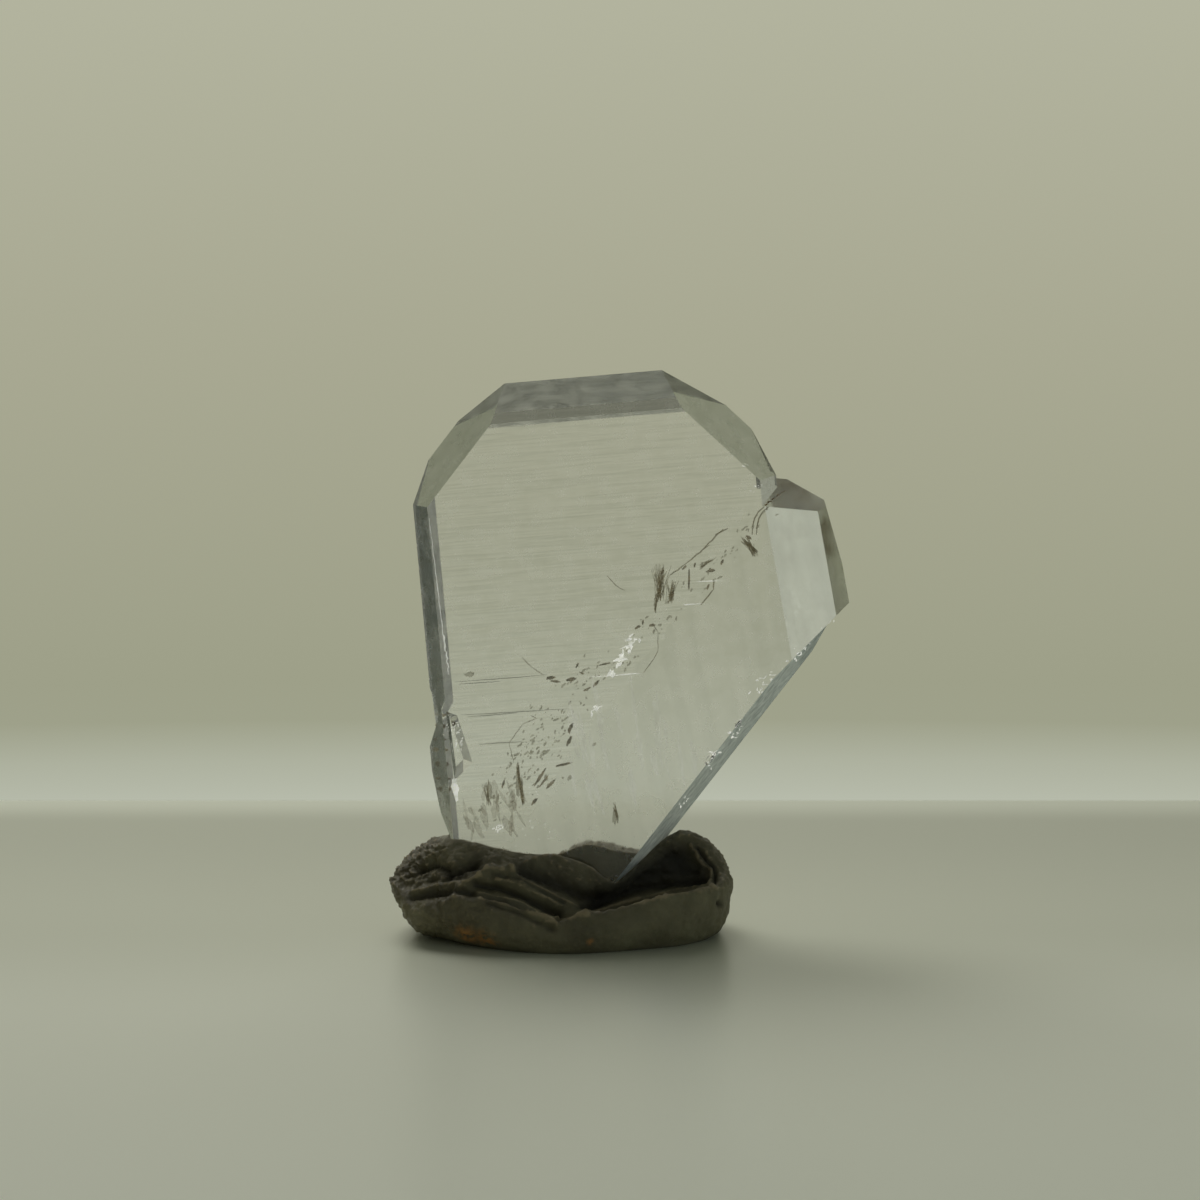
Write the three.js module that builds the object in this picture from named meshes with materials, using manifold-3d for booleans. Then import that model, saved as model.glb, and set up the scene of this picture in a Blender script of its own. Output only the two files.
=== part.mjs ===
// A japan law twin of quartz, held upright in a lump of mineral tack.
//
// Two flattened quartz crystals share their front and back prism faces and meet on a twin plane that stands
// square to them, so their long axes lie 84 degrees 33 minutes apart. They grew as one piece. Each crystal is the
// space inside its faces: a prism of six faces, closed by rhombohedral faces that lean RHOMB_POLAR from the axis.
// The upper side of the right crystal is a steeper face of the same zone, and its lower side is broken.
//
// Millimetres, Z up, X to the right and Y away from the viewer. The origin is under the middle of the piece, on
// the flat underside of the tack.
import * as THREE from "three";
import { ConvexGeometry } from "three/addons/geometries/ConvexGeometry.js";
import { mergeVertices } from "three/addons/utils/BufferGeometryUtils.js";
import Module from "manifold-3d";

// The twin
const TWIN_ANGLE = 84.55; // between the two long axes
const LEFT_AXIS = 94.9; // direction of the left crystal's axis, degrees from X towards Z
const RHOMB_POLAR = 51.79; // a rhombohedral face's normal from the axis, for quartz with c/a of 1.100
const STEEP_POLAR = 76.5; // the steep face beside it on the right crystal
const FRONT = 1.3; // from the heart to the front face of the plate
const BACK = 1.65; // and to its back face
const HEART = new THREE.Vector3(0.14, 0, 11.69); // a point of the twin seam, inside the plate
const LAP = 0.6; // how far each crystal runs past the twin plane, into the other
const BASE_HEIGHT = 1.4; // the broken lower end, inside the tack
const TO_MIDDLE = new THREE.Vector3(0.01, 0.2, 0); // brings the origin under the middle of the whole piece

// Distances of the faces from the heart. A face is named by the turn of its normal about the long axis, from the
// viewer towards the notch between the crystals.
const LEFT_PRISM = { 60: 6.9, 120: 6.95, "-60": 7.66, "-120": 7.57 };
const LEFT_RHOMB = { 0: 8.95, 60: 11.1, "-60": 11.74, 180: 8.97, "-120": 12.8 };
const RIGHT_STEEP = { 60: 8.6, 120: 9.25 };
const RIGHT_RHOMB = { 0: 7.46, 180: 6.28, "-120": 6.04 };
const RIGHT_BROKEN = [
  { toward: -37.35, lean: 23.15, distance: 5.37 },
  { toward: -44.3, lean: 8.25, distance: 4.82 },
]; // the broken lower side, in two parts that meet in a slight hollow
const RIGHT_CORNER = { toward: 16.1, lean: 0, distance: 11.44 }; // the chipped upper right corner
const FOOT_SLOPE = { toward: 204, lean: 0, distance: 10.02 }; // the slanting lower left corner

// The left crystal's prism steps outwards below a notch in its left edge
const LOWER_PRISM = { "-60": 7.83, "-120": 7.85 };
const LOWER_TOP = { toward: 158, lean: -9, distance: 7.03 };
const LOWER_END = { toward: 192.3, lean: 0, distance: 9.4 };
const NOTCH_TOP = { toward: 209.7, lean: 0, distance: 7.73 };
const NOTCH_DEEP = 7.05; // the back prism face inside the notch

// The wedge beside it, which stands proud of the front face
const WEDGE_PROUD = 0.32;
const WEDGE_SIDES = [
  [17.7, 46, -7.41, 10.6],
  [-44.5, 55, -7.05, 7.92],
  [72, 30, -7.8, 10.66],
  [187, 25, -7.76, 9.5],
];

// The tack
const SLOT_GAP = 0.06; // between the crystal and the tack pressed round it
const TACK_LEFT = [-10.72, -0.5, 2.5];
const TACK_RIGHT = [5.43, -0.2, 2.2];
const TACK_COLUMNS = 46;
const TACK_ROWS = 44;
// Sections across the lump from left to right. Each starts at the front foot and goes over the front bulge, the
// lip, the floor of the crease or pocket behind the lip, its far side, the second fold, the crest before the
// crystal, the crest behind it, the rear shoulder, the rear bulge and the rear foot, as [Y, Z].
const TACK_SECTIONS = [
  [-10.25, [-1.0, 1.75], [-1.7, 2.1], [-1.7, 2.5], [-1.4, 2.7], [-1.1, 2.9], [-0.7, 3.1],
    [-0.2, 3.3], [0.7, 3.2], [1.2, 2.9], [1.5, 2.3], [1.0, 1.8]],
  [-9.35, [-1.8, 0.55], [-3.0, 1.3], [-2.9, 2.1], [-2.5, 2.3], [-2.2, 2.8], [-1.6, 3.5],
    [-0.9, 4.05], [1.3, 4.0], [2.3, 3.4], [2.9, 2.2], [1.9, 0.6]],
  [-8.3, [-1.3, 0.0], [-3.7, 1.4], [-3.5, 2.3], [-3.1, 2.4], [-2.7, 2.9], [-2.1, 3.9],
    [-1.4, 4.75], [1.9, 4.55], [2.8, 3.9], [3.5, 2.2], [1.4, 0.0]],
  [-7.0, [-2.7, 0.0], [-4.3, 1.3], [-4.1, 2.6], [-3.7, 2.5], [-3.4, 2.8], [-2.9, 3.4],
    [-1.6, 4.6], [2.3, 4.05], [3.2, 3.5], [4.0, 2.0], [2.8, 0.0]],
  [-5.5, [-3.7, 0.0], [-4.8, 1.2], [-4.4, 2.35], [-4.0, 2.2], [-3.6, 2.6], [-3.0, 3.55],
    [-1.6, 4.25], [2.35, 3.65], [3.4, 3.1], [4.4, 1.9], [3.4, 0.0]],
  [-4.2, [-4.3, 0.0], [-5.0, 1.1], [-4.7, 2.05], [-4.2, 1.75], [-3.7, 2.1], [-3.1, 3.05],
    [-1.7, 4.0], [2.35, 3.4], [3.5, 2.9], [4.6, 1.8], [3.6, 0.0]],
  [-2.8, [-4.6, 0.0], [-5.1, 0.95], [-4.7, 1.6], [-4.2, 1.3], [-3.6, 1.45], [-2.9, 2.4],
    [-1.7, 3.9], [2.45, 3.35], [3.6, 2.85], [4.7, 1.8], [3.6, 0.0]],
  [-1.4, [-4.5, 0.0], [-5.0, 1.05], [-4.6, 1.85], [-4.1, 1.3], [-3.2, 1.2], [-2.5, 1.9],
    [-1.6, 3.4], [2.45, 4.0], [3.6, 3.4], [4.6, 1.8], [3.6, 0.0]],
  [0.0, [-4.1, 0.0], [-4.8, 1.2], [-4.4, 2.1], [-3.9, 1.3], [-2.9, 1.1], [-2.1, 1.4],
    [-1.4, 2.6], [2.5, 3.8], [3.6, 3.3], [4.5, 1.8], [3.5, 0.0]],
  [1.4, [-3.6, 0.0], [-4.5, 1.3], [-4.2, 2.4], [-3.7, 1.5], [-2.5, 1.1], [-1.2, 1.5],
    [-0.5, 3.6], [2.2, 3.6], [3.2, 3.2], [4.2, 1.8], [3.2, 0.0]],
  [2.8, [-3.0, 0.0], [-4.1, 1.4], [-3.9, 2.75], [-3.4, 1.9], [-2.2, 1.6], [-1.0, 2.3],
    [-0.3, 4.6], [1.4, 4.4], [2.8, 3.6], [3.7, 1.9], [2.8, 0.0]],
  [4.0, [-1.9, 0.0], [-3.4, 1.5], [-3.3, 2.85], [-2.9, 2.4], [-2.0, 2.3], [-1.0, 3.1],
    [-0.2, 4.4], [1.2, 4.2], [2.3, 3.4], [2.9, 1.9], [1.9, 0.0]],
  [4.95, [-0.9, 0.5], [-2.0, 1.5], [-1.9, 2.7], [-1.6, 2.85], [-1.2, 2.9], [-0.8, 3.1],
    [-0.2, 3.45], [0.8, 3.35], [1.3, 2.8], [1.6, 1.9], [0.9, 0.55]],
];

const wasm = await Module();
wasm.setup();

const radians = THREE.MathUtils.degToRad;

// A unit vector in the plane of the plate, at an angle from X towards Z.
function inPlate(degrees) {
  return new THREE.Vector3(Math.cos(radians(degrees)), 0, Math.sin(radians(degrees)));
}

// A face of a crystal: turn is about the long axis, polar is from the long axis.
function crystalFace(axis, side, turn, polar, distance) {
  const normal = new THREE.Vector3(0, -Math.cos(radians(turn)), 0)
    .addScaledVector(side, Math.sin(radians(turn)))
    .multiplyScalar(Math.sin(radians(polar)))
    .addScaledVector(axis, Math.cos(radians(polar)));
  return { normal, distance: distance + normal.dot(HEART) };
}

function facesAbout(axis, side, polar, distances) {
  return Object.entries(distances).map(([turn, far]) => crystalFace(axis, side, Number(turn), polar, far));
}

// A face that looks `toward` in the plate and leans to the front, by its distance from the heart or through the
// point (x, z) of the front face.
function leaningNormal(toward, lean) {
  return inPlate(toward).multiplyScalar(Math.cos(radians(lean))).setY(-Math.sin(radians(lean)));
}

function brokenFace({ toward, lean, distance }) {
  const normal = leaningNormal(toward, lean);
  return { normal, distance: distance + normal.dot(HEART) };
}

function edgeFace(toward, lean, x, z) {
  const normal = leaningNormal(toward, lean);
  return { normal, distance: normal.dot(new THREE.Vector3(x, -FRONT, z)) };
}

// The faces of both crystals, with the plate's front and back and the other crystal's side of the twin plane.
function leftFaces() {
  const axis = inPlate(LEFT_AXIS);
  const side = inPlate(LEFT_AXIS - 90);
  const seam = inPlate(LEFT_AXIS - TWIN_ANGLE / 2 - 90);
  return [
    ...plateFaces(),
    ...facesAbout(axis, side, 90, LEFT_PRISM),
    ...facesAbout(axis, side, RHOMB_POLAR, LEFT_RHOMB),
    { normal: seam, distance: seam.dot(HEART) + LAP },
    brokenFace(FOOT_SLOPE),
  ];
}

function rightFaces(broken) {
  const axis = inPlate(LEFT_AXIS - TWIN_ANGLE);
  const side = inPlate(LEFT_AXIS - TWIN_ANGLE + 90);
  const seam = inPlate(LEFT_AXIS - TWIN_ANGLE / 2 + 90);
  return [
    ...plateFaces(),
    ...facesAbout(axis, side, STEEP_POLAR, RIGHT_STEEP),
    ...facesAbout(axis, side, RHOMB_POLAR, RIGHT_RHOMB),
    brokenFace(broken),
    brokenFace(RIGHT_CORNER),
    { normal: seam, distance: seam.dot(HEART) + LAP },
  ];
}

function plateFaces() {
  return [
    { normal: new THREE.Vector3(0, -1, 0), distance: FRONT },
    { normal: new THREE.Vector3(0, 1, 0), distance: BACK },
    { normal: new THREE.Vector3(0, 0, -1), distance: -BASE_HEIGHT },
  ];
}

// The overgrowth on the left edge, rooted in the left crystal, and the notch above it.
function wedgeFaces() {
  return [
    { normal: new THREE.Vector3(0, -1, 0), distance: FRONT + WEDGE_PROUD },
    { normal: new THREE.Vector3(0, 1, 0), distance: 0 },
    ...WEDGE_SIDES.map(([toward, lean, x, z]) => edgeFace(toward, lean, x, z)),
  ];
}

function lowerPrismFaces() {
  const axis = inPlate(LEFT_AXIS);
  const side = inPlate(LEFT_AXIS - 90);
  return [
    ...plateFaces(),
    ...facesAbout(axis, side, 90, LOWER_PRISM),
    brokenFace(LOWER_TOP),
    brokenFace(LOWER_END),
    brokenFace(FOOT_SLOPE),
    { normal: side, distance: side.dot(HEART) - 7.0 },
  ];
}

function notchFaces() {
  const axis = inPlate(LEFT_AXIS);
  const side = inPlate(LEFT_AXIS - 90);
  return [
    turned(crystalFace(axis, side, -120, 90, NOTCH_DEEP)),
    turned(brokenFace(NOTCH_TOP)),
    { normal: new THREE.Vector3(0, -1, 0), distance: 2 * FRONT },
    { normal: new THREE.Vector3(0, 1, 0), distance: 2 * BACK },
    { normal: new THREE.Vector3(0, 0, -1), distance: 0 },
    { normal: side.clone().negate(), distance: 12 },
  ];
}

function turned({ normal, distance }) {
  return { normal: normal.clone().negate(), distance: -distance };
}

// The corners where three faces meet, inside all the others, span the crystal.
function cornersWithin(faces) {
  const corners = [];
  for (const [i, a] of faces.entries()) {
    for (const [j, b] of faces.slice(i + 1).entries()) {
      for (const c of faces.slice(i + j + 2)) {
        const bc = b.normal.clone().cross(c.normal);
        const volume = a.normal.dot(bc);
        if (Math.abs(volume) < 1e-6) continue;
        const corner = bc
          .multiplyScalar(a.distance)
          .addScaledVector(c.normal.clone().cross(a.normal), b.distance)
          .addScaledVector(a.normal.clone().cross(b.normal), c.distance)
          .divideScalar(volume);
        const inside = faces.every((face) => face.normal.dot(corner) < face.distance + 1e-6);
        const known = corners.some((other) => other.distanceTo(corner) < 1e-4);
        if (inside && !known) corners.push(corner);
      }
    }
  }
  return corners;
}

// A closed geometry as a solid, and a solid as a geometry.
function solidOf(geometry) {
  geometry.deleteAttribute("normal");
  geometry.deleteAttribute("uv");
  const merged = mergeVertices(geometry, 1e-4);
  return new wasm.Manifold(
    new wasm.Mesh({
      numProp: 3,
      vertProperties: merged.attributes.position.array,
      triVerts: new Uint32Array(merged.index.array),
    }),
  );
}

function geometryOf(solid) {
  const mesh = solid.getMesh();
  const geometry = new THREE.BufferGeometry();
  geometry.setAttribute("position", new THREE.BufferAttribute(mesh.vertProperties, 3));
  geometry.setIndex(new THREE.BufferAttribute(mesh.triVerts, 1));
  geometry.computeVertexNormals();
  return geometry;
}

// One body inside its faces, each moved outwards by `grow`.
function bodyWithin(faces, grow = 0) {
  const moved = faces.map(({ normal, distance }) => ({ normal, distance: distance + grow }));
  return solidOf(new ConvexGeometry(cornersWithin(moved)));
}

// Both crystals and the overgrowth as one solid.
function twin(grow = 0) {
  const left = bodyWithin(leftFaces(), grow).subtract(bodyWithin(notchFaces(), -grow));
  return [...RIGHT_BROKEN.map(rightFaces), wedgeFaces(), lowerPrismFaces()]
    .map((faces) => bodyWithin(faces, grow))
    .reduce((whole, body) => whole.add(body), left);
}

// The lump, drawn over its sections. Every section's outline is a closed curve, and the curves that join their
// like points run from one end of the lump to the other.
function tackGeometry() {
  const rails = TACK_SECTIONS[0].slice(1).map((_, point) => {
    const stations = TACK_SECTIONS.map(([x, ...outline]) => [x, ...outline[point]]);
    const through = [TACK_LEFT, ...stations, TACK_RIGHT].map((place) => new THREE.Vector3(...place));
    return new THREE.CatmullRomCurve3(through, false, "catmullrom", 0.5);
  });
  const positions = [...TACK_LEFT];
  for (let column = 1; column < TACK_COLUMNS; column++) {
    const outline = rails.map((rail) => rail.getPoint(column / TACK_COLUMNS));
    const loop = new THREE.CatmullRomCurve3(outline, true, "centripetal");
    for (let row = 0; row < TACK_ROWS; row++) {
      const place = loop.getPoint(row / TACK_ROWS);
      positions.push(place.x, place.y, Math.max(place.z, 0));
    }
  }
  positions.push(...TACK_RIGHT);
  const index = [];
  const at = (column, row) => 1 + (column - 1) * TACK_ROWS + (row % TACK_ROWS);
  const last = positions.length / 3 - 1;
  for (let row = 0; row < TACK_ROWS; row++) {
    index.push(0, at(1, row), at(1, row + 1));
    index.push(last, at(TACK_COLUMNS - 1, row + 1), at(TACK_COLUMNS - 1, row));
    for (let column = 1; column < TACK_COLUMNS - 1; column++) {
      index.push(at(column, row), at(column + 1, row), at(column + 1, row + 1));
      index.push(at(column, row), at(column + 1, row + 1), at(column, row + 1));
    }
  }
  const geometry = new THREE.BufferGeometry();
  geometry.setAttribute("position", new THREE.Float32BufferAttribute(positions, 3));
  geometry.setIndex(index);
  return geometry;
}

const group = new THREE.Group();

const crystal = new THREE.Mesh(
  geometryOf(twin()),
  new THREE.MeshStandardMaterial({
    color: 0xcfd0c4,
    roughness: 0.06,
    metalness: 0,
    transparent: true,
    opacity: 0.35,
  }),
);
crystal.name = "twin_crystal";
crystal.position.copy(TO_MIDDLE);
group.add(crystal);

const tack = new THREE.Mesh(
  geometryOf(solidOf(tackGeometry()).subtract(twin(SLOT_GAP))),
  new THREE.MeshStandardMaterial({ color: 0x4a463a, roughness: 0.7, metalness: 0 }),
);
tack.name = "mounting_putty";
tack.position.copy(TO_MIDDLE);
group.add(tack);

export default group;
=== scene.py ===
import math
import random

import bpy
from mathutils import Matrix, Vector, noise
from mathutils.bvhtree import BVHTree


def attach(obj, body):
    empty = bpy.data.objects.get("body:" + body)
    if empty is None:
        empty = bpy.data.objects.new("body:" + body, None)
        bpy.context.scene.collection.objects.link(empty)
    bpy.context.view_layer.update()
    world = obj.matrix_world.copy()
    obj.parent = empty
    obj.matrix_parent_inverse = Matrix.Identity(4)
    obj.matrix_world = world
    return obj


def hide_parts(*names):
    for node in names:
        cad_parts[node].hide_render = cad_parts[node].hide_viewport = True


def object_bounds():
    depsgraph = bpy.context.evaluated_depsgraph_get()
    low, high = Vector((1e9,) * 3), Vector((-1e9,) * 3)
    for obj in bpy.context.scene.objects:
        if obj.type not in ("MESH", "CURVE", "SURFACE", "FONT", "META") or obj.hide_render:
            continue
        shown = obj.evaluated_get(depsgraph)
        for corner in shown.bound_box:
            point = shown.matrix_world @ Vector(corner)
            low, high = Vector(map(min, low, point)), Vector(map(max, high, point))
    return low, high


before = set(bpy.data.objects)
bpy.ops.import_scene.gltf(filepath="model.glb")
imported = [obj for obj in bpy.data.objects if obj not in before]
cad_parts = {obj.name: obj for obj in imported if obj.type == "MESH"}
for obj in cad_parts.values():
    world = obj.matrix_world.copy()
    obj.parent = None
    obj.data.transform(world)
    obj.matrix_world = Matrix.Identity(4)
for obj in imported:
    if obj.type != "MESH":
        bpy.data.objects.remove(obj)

cad_low, cad_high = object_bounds()

# THE TWIN
# Two flattened quartz crystals grown together, clear and colourless. They share their front and back faces
# and meet on a seam that stands square to them. Each is cleaved from a block, face by face, and the two are
# then joined with the small overgrowth on the lower left edge.
mm = 0.001
twin_angle = 84.55  # between the two long axes
left_lean = 94.9  # each axis is given by its direction in the plate, in degrees from X towards Z
right_lean = left_lean - twin_angle
seam_lean = left_lean - twin_angle / 2
rhomb_polar = 51.79  # an end face's normal from the axis
steep_polar = 76.5
plate_y = 0.20
heart = Vector((0.15, plate_y, 11.69)) * mm  # a point of the seam, from which every face is measured
front = 1.3 * mm
back = 1.65 * mm
lap = 0.6 * mm  # how far each crystal runs past the seam
foot_height = 1.4 * mm
wedge_proud = 0.32 * mm
edge_bevel = 0.014 * mm
same_point = 1e-7
same_way = 0.995  # how closely a face looks along the way that names it
quartz_ior = 1.544
left_side = left_lean - 90
right_side = right_lean + 90


def in_plate(degrees):
    return Vector((math.cos(math.radians(degrees)), 0, math.sin(math.radians(degrees))))


def face_of(lean, side_lean, turn, polar, far):
    """A face turned round the axis from the viewer's side, polar from the axis, far mm from the heart."""
    across = in_plate(side_lean) * math.sin(math.radians(turn))
    across.y = -math.cos(math.radians(turn))
    normal = across * math.sin(math.radians(polar)) + in_plate(lean) * math.cos(math.radians(polar))
    return heart + normal * far * mm, normal


def leaning_face(toward, lean, far):
    """A face that looks toward a direction of the plate and leans to the viewer, far mm from the heart."""
    normal = in_plate(toward) * math.cos(math.radians(lean))
    normal.y = -math.sin(math.radians(lean))
    return heart + normal * far * mm, normal


def deselect_all():
    bpy.ops.object.select_all(action="DESELECT")


def make_active(piece):
    deselect_all()
    piece.select_set(True)
    bpy.context.view_layer.objects.active = piece


def settle(piece):
    make_active(piece)
    bpy.ops.object.transform_apply(location=True, rotation=True, scale=True)


def split_along(piece, faces):
    make_active(piece)
    bpy.ops.object.mode_set(mode="EDIT")
    for place, normal in faces:
        bpy.ops.mesh.select_all(action="SELECT")
        bpy.ops.mesh.bisect(
            plane_co=place, plane_no=normal, use_fill=True, clear_outer=True, threshold=same_point
        )
    bpy.ops.object.mode_set(mode="OBJECT")


def cleave(name, faces):
    deselect_all()
    bpy.ops.mesh.primitive_cube_add(size=1, location=heart, scale=(0.06, 0.008, 0.06))
    crystal = bpy.context.object
    crystal.name = name
    settle(crystal)
    split_along(crystal, faces)
    return crystal


def finish_with(piece, kind, **settings):
    make_active(piece)
    bpy.ops.object.modifier_add(type=kind)
    modifier = piece.modifiers[-1]
    for setting, value in settings.items():
        setattr(modifier, setting, value)
    bpy.ops.object.modifier_apply(modifier=modifier.name)


def join_solid(whole, part):
    finish_with(whole, "BOOLEAN", operation="UNION", solver="EXACT", object=part)
    bpy.data.objects.remove(part)


def carve_away(whole, part):
    finish_with(whole, "BOOLEAN", operation="DIFFERENCE", solver="EXACT", object=part)
    bpy.data.objects.remove(part)


crystal = cleave("clear_twin", [
    face_of(left_lean, left_side, 60, 90, 6.9),
    face_of(left_lean, left_side, 120, 90, 6.95),
    face_of(left_lean, left_side, -60, 90, 7.66),
    face_of(left_lean, left_side, -120, 90, 7.57),
    face_of(left_lean, left_side, 0, rhomb_polar, 8.95),
    face_of(left_lean, left_side, 60, rhomb_polar, 11.1),
    face_of(left_lean, left_side, -60, rhomb_polar, 11.74),
    face_of(left_lean, left_side, 180, rhomb_polar, 8.97),
    face_of(left_lean, left_side, -120, rhomb_polar, 12.8),
    (heart + in_plate(seam_lean - 90) * lap, in_plate(seam_lean - 90)),
])

# A notch in the left edge, and below it the prism steps outwards.
deep_place, deep_normal = face_of(left_lean, left_side, -120, 90, 7.05)
notch_place, notch_normal = leaning_face(209.7, 0, 7.73)
notch = cleave("notch", [(deep_place, -deep_normal), (notch_place, -notch_normal)])
carve_away(crystal, notch)
lower_prism = cleave("lower_prism", [
    face_of(left_lean, left_side, -60, 90, 7.83),
    face_of(left_lean, left_side, -120, 90, 7.85),
    leaning_face(158, -9, 7.03),
    leaning_face(192.3, 0, 9.4),
    (heart - in_plate(left_side) * 7.0 * mm, in_plate(left_side)),
])
join_solid(crystal, lower_prism)
right_crystal = cleave("right_crystal", [
    face_of(right_lean, right_side, 60, steep_polar, 8.6),
    face_of(right_lean, right_side, 120, steep_polar, 9.25),
    face_of(right_lean, right_side, 0, rhomb_polar, 7.46),
    face_of(right_lean, right_side, 180, rhomb_polar, 6.28),
    face_of(right_lean, right_side, -120, rhomb_polar, 6.04),
    leaning_face(16.1, 0, 11.44),
    (heart + in_plate(seam_lean + 90) * lap, in_plate(seam_lean + 90)),
])
join_solid(crystal, right_crystal)

# The lower right side is broken away in two parts that meet in a slight hollow.
broken_sides = [leaning_face(-37.35, 23.15, 5.37), leaning_face(-44.3, 8.25, 4.82)]
hollow = cleave("hollow", [(place, -normal) for place, normal in broken_sides])
carve_away(crystal, hollow)
split_along(crystal, [
    (heart - Vector((0, front, 0)), Vector((0, -1, 0))),
    (heart + Vector((0, back, 0)), Vector((0, 1, 0))),
    (Vector((0, 0, foot_height)), Vector((0, 0, -1))),
    leaning_face(204, 0, 10.02),
])

# A small wedge stands proud of the front face by the left edge.
wedge_front = heart.y - front - wedge_proud


def edge_face(toward, lean, across, up):
    normal = in_plate(toward) * math.cos(math.radians(lean))
    normal.y = -math.sin(math.radians(lean))
    return Vector((across * mm, heart.y - front, up * mm)), normal


deselect_all()
bpy.ops.mesh.primitive_cube_add(size=1, location=(-7.4 * mm, wedge_front + 0.8 * mm, 9.2 * mm),
                                scale=(4 * mm, 1.6 * mm, 6 * mm))
wedge = bpy.context.object
settle(wedge)
split_along(wedge, [
    edge_face(17.7, 46, -7.40, 10.6),
    edge_face(-44.5, 55, -7.04, 7.92),
    edge_face(72, 30, -7.79, 10.66),
    edge_face(187, 25, -7.75, 9.5),
])
join_solid(crystal, wedge)

# Small chips broken out of the edges.
chip_depth = 0.42 * mm
front_out = 1.1  # how far the front face stands out from the middle of the frame
chance = random.Random(5)
for across, depth, up, length, width, turn in [
    (10.42, 1.45, 18.15, 0.36, 0.20, 78),
    (10.62, 1.45, 17.0, 0.26, 0.14, 78),
    (9.30, 1.4, 20.55, 0.30, 0.16, -38),
    (5.6, 0.1, 10.1, 0.24, 0.12, 50),
    (4.35, 0.1, 8.45, 0.36, 0.20, 50),
]:
    deselect_all()
    bpy.ops.mesh.primitive_ico_sphere_add(subdivisions=2, radius=1, rotation=(0, math.radians(-turn), 0),
                                          location=(across * mm, (depth - front_out) * mm, up * mm),
                                          scale=(length * mm, chip_depth, width * mm))
    chip = bpy.context.object
    for vertex in chip.data.vertices:
        vertex.co *= chance.uniform(0.88, 1.1)
    settle(chip)
    carve_away(crystal, chip)
finish_with(crystal, "BEVEL", width=edge_bevel, segments=1, limit_method="ANGLE",
            angle_limit=math.radians(18))
make_active(crystal)
bpy.ops.object.mode_set(mode="EDIT")
bpy.ops.mesh.select_all(action="SELECT")
bpy.ops.mesh.remove_doubles(threshold=same_point)
bpy.ops.mesh.normals_make_consistent(inside=False)
bpy.ops.object.mode_set(mode="OBJECT")


def new_finish(name):
    finish = bpy.data.materials.new(name)
    finish.use_nodes = True
    return finish, finish.node_tree.nodes, finish.node_tree.links


def along_crystal(nodes, links, lean, size):
    """Coordinates across a crystal, through its plate and along its axis, in steps of the size."""
    place = nodes.new("ShaderNodeTexCoord")
    turn = nodes.new("ShaderNodeMapping")
    turn.vector_type = "TEXTURE"
    turn.inputs["Location"].default_value = heart
    turn.inputs["Rotation"].default_value = (0, math.radians(90 - lean), 0)
    turn.inputs["Scale"].default_value = size
    links.new(place.outputs["Object"], turn.inputs["Vector"])
    return turn.outputs["Vector"]


def grain(nodes, links, vector, scale, detail, roughness=0.5):
    texture = nodes.new("ShaderNodeTexNoise")
    texture.inputs["Scale"].default_value = scale
    texture.inputs["Detail"].default_value = detail
    texture.inputs["Roughness"].default_value = roughness
    links.new(vector, texture.inputs["Vector"])
    return texture.outputs["Fac"]


def work_out(nodes, links, operation, first, second):
    sum_node = nodes.new("ShaderNodeMath")
    sum_node.operation = operation
    for socket, value in zip(sum_node.inputs, (first, second)):
        if isinstance(value, (int, float)):
            socket.default_value = value
        else:
            links.new(value, socket)
    return sum_node.outputs["Value"]


def blend_of(nodes, links, share, low, high):
    mix = nodes.new("ShaderNodeMix")
    mix.data_type = "FLOAT"
    for socket, value in zip(mix.inputs[:1] + mix.inputs[2:4], (share, low, high)):
        if isinstance(value, (int, float)):
            socket.default_value = value
        else:
            links.new(value, socket)
    return mix.outputs[0]


def ramp_between(nodes, links, value, low, high, at_low=0.0, at_high=1.0):
    ramp = nodes.new("ShaderNodeMapRange")
    ramp.interpolation_type = "SMOOTHSTEP"
    for socket, number in zip(ramp.inputs[1:5], (low, high, at_low, at_high)):
        socket.default_value = number
    links.new(value, ramp.inputs["Value"])
    return ramp.outputs["Result"]


# Clear quartz, with the fine growth lines that cross each crystal's axis on its prism faces.
clear_quartz, nodes, links = new_finish("clear_quartz")
shader = nodes["Principled BSDF"]
shader.inputs["Transmission Weight"].default_value = 1
shader.inputs["IOR"].default_value = quartz_ior
place = nodes.new("ShaderNodeTexCoord")
beyond_seam = nodes.new("ShaderNodeVectorMath")
beyond_seam.operation = "DOT_PRODUCT"
beyond_seam.inputs[1].default_value = in_plate(seam_lean - 90)
links.new(place.outputs["Object"], beyond_seam.inputs[0])
ragged = grain(nodes, links, place.outputs["Object"], 900, 3)
seam_at = heart.dot(in_plate(seam_lean - 90))
seam_sway = work_out(nodes, links, "MULTIPLY", work_out(nodes, links, "SUBTRACT", ragged, 0.5), 1.2 * mm)
seam_share = work_out(nodes, links, "ADD", beyond_seam.outputs["Value"], seam_sway)
seam_share = ramp_between(nodes, links, seam_share, seam_at - 0.05 * mm, seam_at + 0.05 * mm)
left_lines = along_crystal(nodes, links, left_lean, (3 * mm, 1 * mm, 0.075 * mm))
left_fine = grain(nodes, links, left_lines, 1, 3, 0.6)
left_broad = grain(nodes, links, along_crystal(nodes, links, left_lean, (7 * mm, 3 * mm, 0.6 * mm)), 1, 3)
right_fine = grain(nodes, links, along_crystal(nodes, links, right_lean, (5 * mm, 1 * mm, 0.12 * mm)), 1, 2)
right_broad = grain(nodes, links, along_crystal(nodes, links, right_lean, (9 * mm, 3 * mm, 0.9 * mm)), 1, 2)
fine = blend_of(nodes, links, seam_share, left_fine, work_out(nodes, links, "MULTIPLY", right_fine, 0.35))
broad = blend_of(nodes, links, seam_share, left_broad, right_broad)
height = work_out(nodes, links, "ADD", work_out(nodes, links, "MULTIPLY", fine, 0.35), broad)
bump = nodes.new("ShaderNodeBump")
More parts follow.
